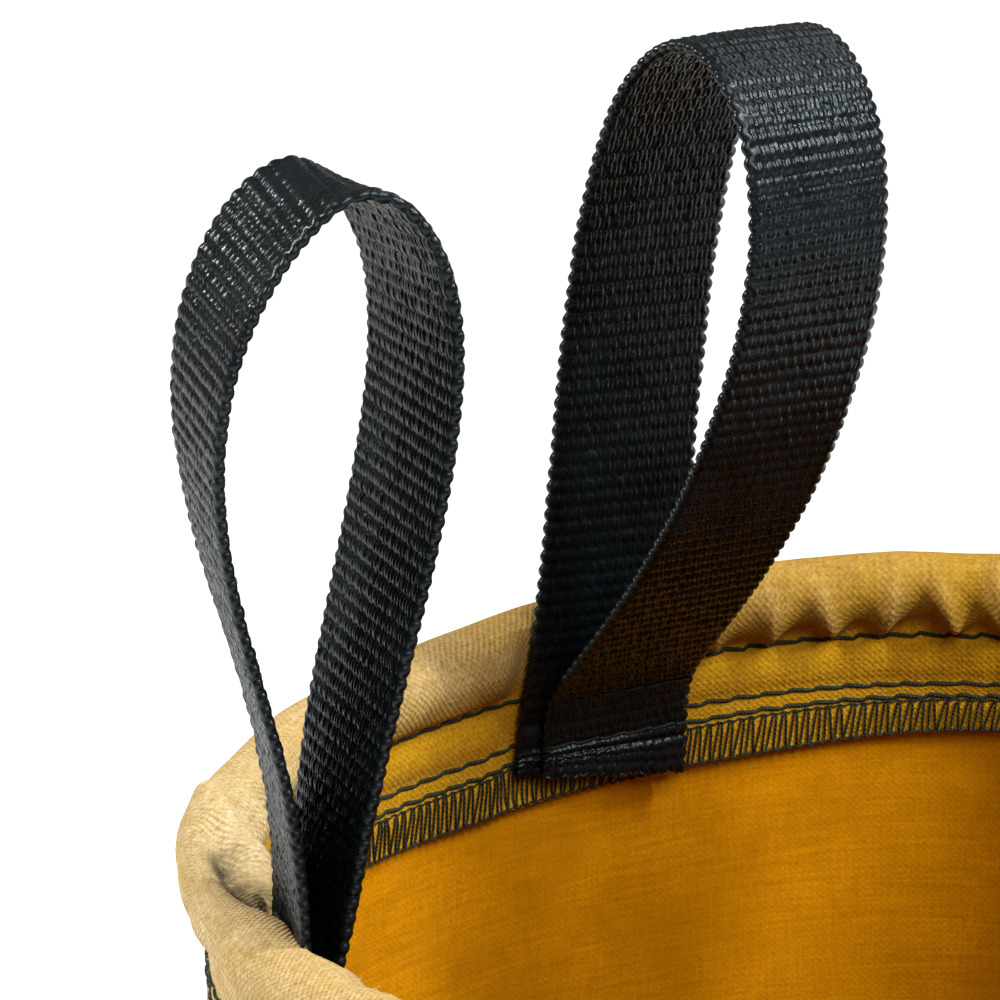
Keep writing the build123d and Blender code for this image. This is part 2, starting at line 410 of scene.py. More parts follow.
def plain_material(name, tone_a, tone_b, scale, rough_low, rough_high, bump):
    """A solid part with a fine grain and slight handling marks."""
    n = Nodes(name)
    grain = n.noise(n.place(), scale, 5, 0.6)
    marks = n.noise(n.place(), scale * 0.12, 4, 0.7)
    n.set(Base_Color=n.mix(n.range(marks, 0.35, 0.65), tone_a, tone_b))
    n.set(Roughness=n.range(marks, 0.3, 0.7, rough_low, rough_high), Normal=n.bump(grain, bump, 0.6))
    return n.material


canvas = canvas_material("canvas", False)
canvas_inside_shaded = canvas_material("canvas_inside_shaded", True)
nylon = nylon_material("nylon")
tape = tape_material("binding_tape")
thread = thread_material("thread", (0.010, 0.014, 0.009), (0.026, 0.032, 0.018), 0.6)
loop_thread = thread_material("loop_thread", (0.006, 0.007, 0.008), (0.016, 0.018, 0.020), 0.3)
board_plastic = plain_material("board", (0.035, 0.035, 0.038), (0.06, 0.06, 0.065), 2.5, 0.5, 0.7, 0.2)
hoop_plastic = plain_material("hoop", (0.52, 0.52, 0.48), (0.62, 0.61, 0.56), 3.0, 0.4, 0.6, 0.05)
fibre = plain_material("fibre", (0.78, 0.62, 0.36), (0.88, 0.78, 0.55), 1.0, 0.7, 0.9, 0.02)


# ---- the bucket's plan and wall ---------------------------------------------------------------
def rim_radius(theta):
    """Radius of the roll's centre line: soft corners, and slightly oval."""
    return RIM_RADIUS * (
        1 + 0.0286 * np.cos(4 * (theta - radians(102.2))) + 0.0135 * np.cos(2 * (theta - radians(131.5)))
    )


def wall_radius(theta, z):
    """Outer face of the wall: round at the base, like the rim at the top, and a little slack between."""
    up = smooth(z, 110, 232)
    turns = theta / (2 * pi)
    slack = noise(turns * 9, z / 62, 9, 3) * 1.5 + noise(turns * 21, z / 30, 21, 4) * 0.5
    slack = slack * smooth(z, 20, 60) * (1 - smooth(z, 170, 228))
    return FOOT_RADIUS * (1 - up) + (rim_radius(theta) + WALL_OUT) * up + slack


def uneven_angles(dense_step, wide_step):
    """Angles round the bucket, closer together over the gathered corner than elsewhere."""
    dense = np.arange(96, 240, dense_step)
    wide = np.arange(240, 456 - wide_step / 2, wide_step)
    return np.radians(np.concatenate([dense, wide]))


# gathers along the far corner: angle at the top and at the stitches, height in mm
FOLDS = (
    (131.0, 130.2, 0.9), (125.6, 124.8, 1.3), (121.4, 119.2, 1.7),
    (113.6, 115.0, 2.1), (110.6, 108.6, 2.1), (105.2, 104.4, 1.8),
)


def gathers(theta, run):
    """Ridged folds that fan out from the first row of stitches and die out on top of the roll."""
    down = np.clip((run - 3) / 11, 0, 1)
    total = 0
    for top, bottom, height in FOLDS:
        d = turn_gap(theta, 0) - (top + (bottom - top) * down)
        total = total + height * np.exp(-np.abs(d / (1.0 + 0.4 * (1 - down))) ** 1.5)
    return total * smooth(run, -2.5, 8.5) * (1 - smooth(run, 13.8, 16.2))


def near_line(theta, run, start, end, width):
    """1 along a line laid on the canvas from start to end, (degrees, run), fading off it."""
    s = theta * RIM_RADIUS
    a = np.array([radians(start[0]) * RIM_RADIUS, start[1]])
    b = np.array([radians(end[0]) * RIM_RADIUS, end[1]])
    d = b - a
    t = ((s - a[0]) * d[0] + (run - a[1]) * d[1]) / (d @ d)
    off = np.hypot(s - a[0] - np.clip(t, 0, 1) * d[0], run - a[1] - np.clip(t, 0, 1) * d[1])
    return np.exp(-((off / width) ** 2)) * smooth(t, -0.35, 0.2) * (1 - smooth(t, 0.8, 1.35))


def puckers(theta, run):
    """How far the sewn canvas stands off its plain shape."""
    turns = theta / (2 * pi)
    slant = 0.11 * run * noise(turns * 24, run * 0, 24, 5)
    folds = noise(turns * 96 + slant, run / 22 + 2, 96, 11)
    lobes = 2.6 * np.abs(folds) ** 0.7 - 1.1 + 0.9 * noise(turns * 60 + slant, run / 15, 60, 13)
    fine = 1.9 * np.abs(noise(turns * 170 + slant * 2, run / 10 + 2, 170, 12)) ** 0.8 - 0.7
    pull = 0.72 + 0.35 * noise(turns * 14, run * 0, 14, 6)
    here = bell(turn_gap(theta, 116), 0, 15)
    pull = pull * (1 - 0.55 * here) + 0.4 * bell(turn_gap(theta, 192), 0, 9)
    above = smooth(run, -2.5, 7) * (1 - smooth(run, 13.4, 16.4))
    between = (0.3 + 0.55 * bell(turn_gap(theta, 104), 0, 10)) * smooth(run, 17.2, 20) * (1 - smooth(run, 22, 25))
    outside = 0.45 * (1 - smooth(run, -8, -3)) * smooth(run, -16.5, -12)
    outside = outside + 0.3 * smooth(run, -52, -30) * (1 - smooth(run, -29, -18))
    off = pull * (lobes * (above + between + outside) + 0.45 * fine * (above + between))
    off = off + gathers(theta, run) * 1.55 - 1.3 * here * smooth(run, 0, 10) * (1 - smooth(run, 14, 16.5))
    off = off + 4.0 * bell(turn_gap(theta, 205.5), 0, 7) * smooth(run, 5, 9.5) * (1 - smooth(run, 13, 18))
    flat = 1.3 * bell(turn_gap(theta, 184), 0, 9) + 1.8 * bell(turn_gap(theta, 207), 0, 7)
    off = off - flat * smooth(run, -15, -7) * (1 - smooth(run, 1, 8))
    for row in ROWS_IN:
        off = off - 0.5 * bell(run, row, 1.0)
    for row in ROWS_OUT:
        off = off - 0.38 * bell(run, row, 1.1)
    off = off + 0.4 * smooth(run, 17, 19.8) * (1 - smooth(run, 21.2, 24.2))
    off = off + (0.7 + 1.3 * bell(turn_gap(theta, 150), 0, 16)) * smooth(run, -14, -6) * (1 - smooth(run, 5, 12))
    roll = smooth(run, -15, -9) * (1 - smooth(run, 9, 15))
    off = off + roll * (0.6 * noise(turns * 30, run / 14 + 1, 30, 7) + 0.3 * noise(turns * 80, run / 6 + 1, 80, 8))
    off = off + 0.3 * noise(turns * 64, run / 9, 64, 9) * smooth(run, 30, 34)
    groove = near_line(theta, run, (199.5, 0.5), (217, 5.5), 2.7)
    ridge = near_line(theta, run, (190, -4), (204.5, 7.5), 2.0)
    second = near_line(theta, run, (189, 3), (199, 9.5), 1.6)
    return off - 3.3 * groove + 1.6 * ridge + 0.9 * second


# ---- webbing loops: control points (out, side, up, yaw, tilt) from the foot of each loop ---------
LOOP_ANGLES = {"back_right": 38.5, "back_left": 141.5, "front_left": 218.5, "front_right": 321.5}
LOOPS = {
    "back_right": [
        (2.2, 1, -19, 0, 0), (2.2, 1, -5, 0, 0), (0, 1, 10, 0, 0), (7, 0, 40, 2, 0), (12, -2, 76, 2, 0),
        (7, -3, 107, 4, 2), (-11, -4, 127, 6, 3), (-28, -4, 110, 8, 2), (-29, -3, 76, 6, 0),
        (-18, -2, 40, 3, 0), (-6, -1, 8, 0, 0), (0.2, -1, -5, 0, 0), (0.2, -1, -19, 0, 0),
    ],
    "back_left": [
        (2.2, 2.0, -18, 0, 0), (2.2, 2.2, -5, 0, 0), (-2.2, 1.4, 9.5, 0, 0), (-2, -2, 40, 0, 0),
        (-2, -5, 75, 0, 1), (-9, -8, 104.7, 2, 4), (-26, -11, 118.7, 6, 6), (-46, -11, 107.5, 8, 3),
        (-48, -10, 78, 6, 0), (-35, -4, 40, 0, 0), (-9, -1.8, 9, 0, 0), (-1.0, -1.6, 0.8, 0, 0),
        (0.3, -1.6, -6, 0, 0), (0.3, -1.6, -12, 0, 0), (0.3, -1.6, -18, 0, 0),
    ],
    "front_left": [
        (2.4, 0, -18, -2, 0), (2.3, 0, -4, -4, 0), (-0.6, 0, 10, -6, 0), (2.0, 0, 40, -5, 0),
        (14.4, 0, 76, -3, 0), (13.9, 0, 109, 4, 2), (-6, 0, 134.4, 14, 9), (-21, 0, 113, 16, 6),
        (-17, 0, 78, 14, 0), (-7.5, 0, 40, 10, 0), (-3.6, 0, 10, 3, 0), (0.3, 0, -4, -3, 0), (0.4, 0, -18, -2, 0),
    ],
    "front_right": [
        (2.2, -1, -19, 0, 0), (2.2, -1, -5, 0, 0), (-1, -1, 10, 0, 0), (3, 0, 40, -2, 0), (6, 2, 76, -2, 0),
        (1, 3, 104, -4, -2), (-16, 4, 121, -6, -3), (-33, 4, 104, -8, -2), (-34, 3, 74, -6, 0),
        (-22, 2, 40, -3, 0), (-7, 1, 8, 0, 0), (0.2, 1, -5, 0, 0), (0.2, 1, -19, 0, 0),
    ],
}


def loop_axes(corner):
    a = radians(LOOP_ANGLES[corner])
    return np.array([cos(a), sin(a), 0.0]), np.array([-sin(a), cos(a), 0.0])


def loop_path(corner, per_span=60):
    """Centre line, width direction and face direction along a loop, from its spline."""
    out, side = loop_axes(corner)
    control = np.array(LOOPS[corner], float)
    control = np.vstack([2 * control[0] - control[1], control, 2 * control[-1] - control[-2]])
    t = np.linspace(0, 1, per_span, endpoint=False)[:, None]
    spans = []
    for a, b, c, d in zip(control, control[1:], control[2:], control[3:]):
        early = (1 - t) ** 3 * a + (3 * t**3 - 6 * t**2 + 4) * b
        late = (-3 * t**3 + 3 * t**2 + 3 * t + 1) * c + t**3 * d
        spans.append((early + late) / 6)
    q = np.vstack(spans)
    foot = rim_radius(np.array(radians(LOOP_ANGLES[corner]))) - 5.3
    place = (foot + q[:, :1]) * out + q[:, 1:2] * side + (241.8 + q[:, 2:3]) * UP
    run = run_along(place)
    at = np.arange(0, run[-1], STRAP_STEP)
    place = follow(run, place, at)
    yaw, tilt = (np.radians(np.interp(at, run, q[:, k]))[:, None] for k in (3, 4))
    along = unit(np.gradient(place, axis=0))
    width = side * np.cos(yaw) - out * np.sin(yaw) + UP * np.tan(tilt)
    width = unit(width - (along * width).sum(1)[:, None] * along)
    return place, along, width, np.cross(along, width), at


# ---- canvas: one grid over the outer face, from the foot over the roll to the hem's edge ---------
theta_line = uneven_angles(0.29, 0.72)
run_line = np.concatenate(
    [
        -(OUT_RUN + OUT_Z) + np.linspace(0, 1, 34, endpoint=False) * (OUT_RUN + OUT_Z - 40),
        np.arange(-40, -16.6, 1.05),
        np.arange(-16.2, 15.2, 0.82),
        np.arange(15.7, HEM_RUN - 0.2, 0.72),
        [HEM_RUN],
    ]
)
THETA, RUN = np.meshgrid(theta_line, run_line, indexing="ij")


def plain_shape(theta, run):
    """The canvas before its puckers: its points, and the way off its face."""
    angle = pi / 2 + run / ROLL
    on_roll = (run < IN_RUN) & (run > -OUT_RUN)
    flat_z = np.where(run > 0, IN_Z - (run - IN_RUN), OUT_Z + run + OUT_RUN)
    z = np.where(on_roll, ROLL_Z + ROLL * np.sin(angle), flat_z)
    r = rim_radius(theta) + np.where(on_roll, ROLL * np.cos(angle), np.where(run > 0, -HEM_IN, WALL_OUT))
    r = np.where(run < -OUT_RUN, wall_radius(theta, z), r)
    tip = np.clip(angle, OUT_ANGLE, IN_ANGLE)
    tip = tip + (0 - OUT_ANGLE) * (1 - smooth(run, -OUT_RUN - 1.6, -OUT_RUN + 1.6))
    tip = tip + (pi - IN_ANGLE) * smooth(run, IN_RUN - 1.6, IN_RUN + 1.6)
    return polar(r, theta, z), polar(np.cos(tip), theta, np.sin(tip))


def grid_normals(grid, wrap):
    around = (np.roll(grid, -1, 0) - np.roll(grid, 1, 0)) if wrap else np.gradient(grid, axis=0)
    return unit(np.cross(around, np.gradient(grid, axis=1)))


canvas_face, face_off = plain_shape(THETA, RUN)
canvas_face = canvas_face + puckers(THETA, RUN)[..., None] * face_off
drawn_up = 2.2 * bell(turn_gap(THETA, 104), 0, 17) + 0.3
canvas_face[..., 2] += drawn_up * np.clip((RUN - ROWS_IN[1]) / (HEM_RUN - ROWS_IN[1]), 0, 1)

# the sewn webbing presses the roll back and holds the hem against it
for corner in LOOPS:
    out, side = loop_axes(corner)
    place, _, _, _, _ = loop_path(corner)
    first_leg = place[: int(46 / STRAP_STEP)]
    leg_out = np.interp(canvas_face[..., 2], first_leg[:, 2], first_leg @ out) + WEB_THICK / 2 + 0.35
    leg_side = np.interp(canvas_face[..., 2], first_leg[:, 2], first_leg @ side)
    here = np.abs(canvas_face @ side - leg_side)
    need = leg_out - canvas_face @ out
    edge = 1 - smooth(here, 12.4, 19)
    need = np.where(RUN > 15, need, np.maximum(need, 0))
    reach = (RUN > 0.5) & (canvas_face @ out > 60)
    canvas_face = canvas_face + (np.where(reach, need, 0) * edge * (1 - smooth(RUN, 32, 36)))[..., None] * out

for _ in range(2):
    middle = (canvas_face[:, :-2] + 2 * canvas_face[:, 1:-1] + canvas_face[:, 2:]) / 4
    canvas_face[:, 35:-1] = middle[:, 34:]
face_normal = grid_normals(canvas_face, True)


def on_canvas(theta, run, lift=0.0):
    """Points this far off the canvas's face, and the face's normal there."""
    line = np.append(theta_line, theta_line[0] + 2 * pi)
    t = (np.asarray(theta) - line[0]) % (2 * pi) + line[0]
    i = np.clip(np.searchsorted(line, t, "right") - 1, 0, len(line) - 2)
    j = np.clip(np.searchsorted(run_line, run, "right") - 1, 0, len(run_line) - 2)
    f = ((t - line[i]) / (line[i + 1] - line[i]))[..., None]
    g = ((run - run_line[j]) / (run_line[j + 1] - run_line[j]))[..., None]
    k = (i + 1) % len(theta_line)

    def at(grid):
        low, high = grid[i, j] * (1 - f) + grid[k, j] * f, grid[i, j + 1] * (1 - f) + grid[k, j + 1] * f
        return low * (1 - g) + high * g

    normal = unit(at(face_normal))
    return at(canvas_face) + np.asarray(lift)[..., None] * normal, normal


behind_hem = (1 - smooth(run_line, -20, -16)) * smooth(run_line, -38, -34)
thick_line = np.where(run_line > 15, 1.25, CLOTH - 0.6 * behind_hem)
canvas_back = canvas_face - thick_line[None, :, None] * face_normal
shell = np.concatenate([canvas_face, canvas_back[:, ::-1]], axis=1)
arc_line = np.append(theta_line, theta_line[0] + 2 * pi) * RIM_RADIUS
edge_u = arc_line - arc_line[0]
edge_v = np.concatenate([run_line, run_line[::-1] + 0.7, run_line[:1]])
zero = np.zeros((len(theta_line), len(run_line)))
# painted shade along the groove and where the front-left strap presses on the roll
groove_shade = 0.95 * near_line(THETA, RUN, (202, 1.2), (216, 5.0), 2.3)
groove_shade = groove_shade + 0.7 * bell(turn_gap(THETA, 214), 0, 7) * smooth(RUN, 3, 6.5)
groove_shade = np.clip(groove_shade * (0.6 + 0.8 * np.abs(noise(THETA / (2 * pi) * 300, RUN, 300, 33))), 0, 0.85)
# painted highlight: lighter on the lit front-left of the rim and on the gathers' crests, plus some random rubbed
# wear
highlight_and_wear = bell(turn_gap(THETA, 203), 0, 42) * (1 - smooth(RUN, 6, 13))
crest = np.clip(puckers(THETA, RUN) / 2.8, 0, 1) * smooth(RUN, -14, -8)
rubbed = np.clip(0.3 + 0.55 * noise(THETA / (2 * pi) * 44, RUN / 8, 44, 34), 0, 1)
highlight_and_wear = highlight_and_wear + (1 - highlight_and_wear) * (0.17 * crest + 0.08 * rubbed) * (1 - smooth(RUN, 12, 15.5))
values = {
    "highlight_and_wear": np.concatenate([highlight_and_wear, highlight_and_wear], 1),
    # painted shade: from the roll's top inward the canvas takes the deeper hem tone
    "hem": np.concatenate([zero + smooth(run_line, 10, 17), zero], 1),
    "groove_shade": np.concatenate([groove_shade, zero], 1),
}
shell_rows, shell_columns = shell.shape[:2]
wall = make_mesh(
    "canvas_wall", shell, grid_quads(shell_rows, shell_columns, True, True), canvas, grid_uv(edge_u, edge_v), values
)
# the inner face below the hem takes the inside copy, whose deeper colour is painted shade
wall.data.materials.append(canvas_inside_shaded)
behind = np.tile(np.arange(shell_columns) >= len(run_line) + np.searchsorted(-run_line[::-1], 34), len(theta_line))
wall.data.polygons.foreach_set("material_index", behind.astype(np.int32))
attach(wall, "bucket")
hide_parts("wall_panel")

# flexible hoop inside the roll
around = np.radians(np.arange(0, 360, 1.0))
hoop_r = rim_radius(around) + 0.4 + 1.6 * sum(bell(turn_gap(around, a), 0, 12) for a in LOOP_ANGLES.values())
hoop_tube = tube(polar(hoop_r, around, ROLL_Z), UP, 1.8, 12, True)
hoop = make_mesh("rim_hoop_rod", *hoop_tube, hoop_plastic)
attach(hoop, "bucket")
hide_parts("rim_hoop")


# ---- sewing on the hem ------------------------------------------------------------------------
def lockstitch(bag, row, seed, radius=0.34, dip=0.1, lift=0.14, sway=0.27):
    """A row of slanted stitches round the hem, each one rising and then dropping back to the line."""
    pick = np.random.default_rng(seed)
    count = 145
    length = pick.normal(1, 0.07, count)
    starts = np.concatenate([[0], np.cumsum(length)]) / length.sum() * 2 * pi
    share = np.linspace(0, 1, 9, endpoint=False)
    theta = (starts[:-1, None] + np.diff(starts)[:, None] * share).ravel()
    sizes = np.repeat(pick.normal(1, 0.25, count), 9)
    share = np.tile(share, count)
    rise = np.where(share < 0.78, 1 - 2 * share / 0.78, 2 * (share - 0.78) / 0.22 - 1)
    wander = 0.35 * noise(theta / (2 * pi) * 22, 0 * theta + seed, 22, seed)
    height = lift * np.sin(pi * share) ** 0.6 - dip * (1 - np.sin(pi * share) ** 0.35)
    path, normal = on_canvas(theta, row + wander + sway * sizes * rise, height)
    bag.add(*tube(path, normal, radius, 6, True))


def overlock(bag, top, bottom):
    """Edge stitching: slanted bars between a chain along the hem and loops on its raw edge."""
    pick = np.random.default_rng(51)
    count = int(round(2 * pi * HEM_RADIUS / 1.8))
    share = np.linspace(0, 1, 14, endpoint=False)
    theta = ((np.arange(count)[:, None] + share) / count * 2 * pi).ravel()
    share = np.tile(share, count)
    wave = np.clip(2.3 * np.cos(2 * pi * share), -1, 1)
    uneven = np.repeat(pick.normal(0, 0.22, count), 14)
    lean = np.repeat(pick.normal(0.3, 0.16, count), 14) / HEM_RADIUS
    run = (top + bottom) / 2 + (bottom - top) / 2 * wave + uneven * (wave < 0)
    path, normal = on_canvas(theta + lean * wave, np.minimum(run, HEM_RUN - 0.1), 0.2 + 0.12 * (1 - wave**2))
    bag.add(*tube(path, normal, 0.18, 5, True))
    for at, sway in ((top - 0.1, 0.12), (bottom + 0.1, 0.2)):
        theta = np.linspace(0, 2 * pi, count * 6, endpoint=False)
        wave = np.cos(theta * count)
        run = np.minimum(at + sway * wave + 0.15 * noise(theta / (2 * pi) * 40, 0 * theta, 40, 53), HEM_RUN - 0.05)
        path, normal = on_canvas(theta, run, 0.28 + 0.08 * wave)
        bag.add(*tube(path, normal, 0.15, 5, True))


sewing = Bag()
for index, row in enumerate(ROWS_IN):
    lockstitch(sewing, row, 60 + index)
for index, row in enumerate(ROWS_OUT):
    lockstitch(sewing, row, 70 + index, radius=0.36, dip=0.6, lift=0.18, sway=0.3)
overlock(sewing, ROWS_IN[2] + 1.0, HEM_RUN - 0.3)
sewing = sewing.make("hem_sewing", thread)
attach(sewing, "bucket")
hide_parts("rim_thread")


# ---- webbing loops -------------------------------------------------------------------------------
def webbing(corner, seed):
    """One strap: a ribbed face of staggered beads on both sides, and roped, scalloped edges."""
    pick = np.random.default_rng(seed)
    place, along, width, face, at = loop_path(corner)
    per_column = 4
    across = WEB_COLUMNS * per_column
    column = (np.arange(across) + 0.5) / per_column
    half = WEB_WIDTH / 2 - 0.7
    flat = (column / WEB_COLUMNS * 2 - 1) * half
    jitter = pick.normal(0, 0.035, WEB_COLUMNS + 4)
    lucky = pick.normal(0, 1, (211, 37)).clip(-1.6, 1.6)
    drift = noise(at[:, None] / 31, flat[None] / 9, 97, seed + 1) * 0.18

    def beads(phase_shift):
        row = np.floor(at[:, None] / RIB + phase_shift / (2 * pi))
        weave = column[None] + 0.10 * np.sin(2 * pi * at[:, None] / (2 * RIB) + phase_shift)
        index = np.floor(weave).astype(int)
        side = weave - index - 0.5
        parity = np.where(index % 2 == 0, 1, -1)
        stagger = 0.045 * parity + 0.5 * jitter[index % len(jitter)]
        tilt = 0.16 * parity * np.where(row % 2 == 0, 1, -1)
        phase = (at[:, None] / RIB + stagger + tilt * side + 0.4 * drift + phase_shift / (2 * pi)) % 1 - 0.5
        long_way = np.sqrt(np.clip(1 - (2 * phase) ** 2 * 0.99, 0, 1))
        short_way = np.sqrt(np.clip(1 - (2 * side) ** 2 * 0.80, 0, 1))
        proud = 1 + 0.16 * lucky[(row.astype(int) % 211), index % 37]
        return 0.54 * proud * long_way * (0.25 + 0.75 * short_way) - 0.33

    depth = HEIGHT - place[:, 2]
    sewn = sum(bell(depth, row, 0.75) for row in ROW_DEPTHS)[:, None]
    lumps = 0.6 * noise(at[:, None] / 2.0, flat[None] / 2.6, 97, seed + 5) * smooth(depth, 10, 14)[:, None]
    thick = WEB_THICK / 2 - 0.45 * sewn * (1 + 0.5 * lumps)
    knots = [np.abs(np.sin(pi * at / RIB + start)) ** 0.8 for start in (0.1, 1.6)]
    rope = 0.66 * knots[0] - 0.12 + 0.16 * noise(at / 6, at * 0, 97, seed + 2)
    rope_back = 0.66 * knots[1] - 0.12 + 0.16 * noise(at / 6, at * 0 + 9, 97, seed + 3)
    curl = 0.35 * noise(at / 40, at * 0, 97, seed + 4)[:, None] * (flat[None] / half) ** 2

    def offset(w, n):
        return place[:, None] + w[..., None] * width[:, None] + n[..., None] * face[:, None]

    wide = np.broadcast_to(flat[None], (len(at), across))
    front = offset(wide, thick + beads(0.0) + curl + lumps)
    back = offset(wide, -thick - beads(pi) + curl)[:, ::-1]
    edge = []
    for sign, rough, knot in ((1, rope, knots[0]), (-1, rope_back, knots[1])):
        corner_at = np.radians(np.array([62, 25, -25, -62]) * sign)
        reach = sign * (half + 0.12 + (0.42 + rough[:, None]) * np.cos(corner_at)[None])
        swell = WEB_THICK / 2 * (0.62 + 0.5 * knot[:, None])
        edge.append(offset(reach, swell * np.sin(corner_at)[None] * sign + curl[:, :1]))
    ring = np.concatenate([front, edge[0], back, edge[1][:, ::-1]], axis=1)

    # the cut ends: a little skewed and uneven
    w_of = np.concatenate([wide[0], [half + 0.5] * 4, wide[0][::-1], [-half - 0.5] * 4])
    for end, sign in ((0, 1), (-1, -1)):
        away = at if end == 0 else at[-1] - at
        ragged = 0.5 * np.interp(w_of, np.sort(wide[0]), pick.normal(0, 0.6, across))
        shift = (3.0 + 2.1 * w_of / half + ragged)[None] * (1 - smooth(away, 0, 11))[:, None]
        ring = ring + sign * shift[..., None] * along[:, None]

    rows, columns = ring.shape[:2]
    quads = grid_quads(rows, columns, False, True)
    caps = end_caps(rows, columns)
    uv = np.concatenate([grid_uv(at, np.append(w_of, w_of[0])), np.zeros((caps.size, 2))])
    strap = make_mesh(f"strap_{corner}", ring, np.concatenate([quads, caps]), nylon, uv)
    out, _ = loop_axes(corner)
    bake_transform(strap)
    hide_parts(f"loop_tab_{corner}", f"web_loop_{corner}")

    # sewing over the tab, on its inner face
    tab = Bag()
    end = int(30 / STRAP_STEP)
    last, last_width = place[-end:][::-1], width[-end:][::-1]
    inward = -unit(out)
    for index, drop in enumerate(ROW_DEPTHS):
        w = np.linspace(-12.2, 12.2, 64)
        share = (w / 4.5 + 0.3 * index) % 1
        zig = 0.2 * np.where(share < 0.78, 1 - 2 * share / 0.78, 2 * (share - 0.78) / 0.22 - 1)
        k = int(np.interp(HEIGHT - drop, last[:, 2], np.arange(len(last))))
        line = last[k] + w[:, None] * last_width[k] + (zig + w * 0.03)[:, None] * UP
        line = line + inward * (0.38 + 0.12 * np.sin(pi * share) ** 0.6)[:, None]
        tab.add(*tube(line, np.broadcast_to(inward, line.shape), 0.3, 6))
    sewn_tab = tab.make(f"tab_sewing_{corner}", loop_thread)
    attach(sewn_tab, "bucket")


for index, corner in enumerate(LOOPS):
    webbing(corner, 100 + 10 * index)


# ---- closed sheets laid on the wall: pockets, tapes, discs ---------------------------------------
def thicken(face, back, wrap=False):
    """Points and quads of a sheet between two matching grids."""
    rows, columns = face.shape[:2]
    ring = np.concatenate([face, back[:, ::-1]], axis=1)
    quads = grid_quads(rows, columns * 2, wrap, True)
    if not wrap:
        quads = np.concatenate([quads, end_caps(rows, columns * 2)])
    return ring, quads


def sheet_uv(u, v):
    """Cloth coordinates for a sheet made by thicken, from the distances along its two sides."""
    uv = grid_uv(u, np.concatenate([v, v[::-1] + 0.4, v[:1]]))
    return np.concatenate([uv, np.zeros((2 * (len(v) - 1) * 4, 2))])


def dashes(bag, path, normals, pitch=3.4, radius=0.3, lift=0.12):
    """A row of stitches along a line on a sheet."""
    run = run_along(path)
    at = np.linspace(0, run[-1], max(4, int(round(run[-1] / (pitch / 7)))))
    line, normal = follow(run, path, at), unit(follow(run, normals, at))
    share = (at / pitch) % 1
    height = lift + 0.16 * np.sin(pi * share) ** 0.6 - 0.55 * bell(share, 0, 0.09) - 0.55 * bell(share, 1, 0.09)
    bag.add(*tube(line + height[:, None] * normal, normal, radius, 5))


# the tape's folded section over a pocket's mouth: (off the lip, up)
TAPE_SECTION = np.array(
    [(0.15, -11.2), (0.95, -11.2), (1.02, -8), (1.05, -3), (0.98, 0.25), (0.5, 0.85), (-0.75, 0.98), (-1.95, 0.85),
     (-2.42, 0.2), (-2.46, -4), (-2.36, -11.2), (-1.56, -11.2), (-1.6, -4), (-1.55, 0.0), (0.1, 0.0), (0.2, -4)]
)
TAPE_ENDS = (
    (0, 1, 2, 15), (15, 2, 3, 14), (14, 3, 4, 5), (14, 5, 6, 13), (13, 6, 7, 8), (13, 8, 9, 12), (12, 9, 10, 11)
)


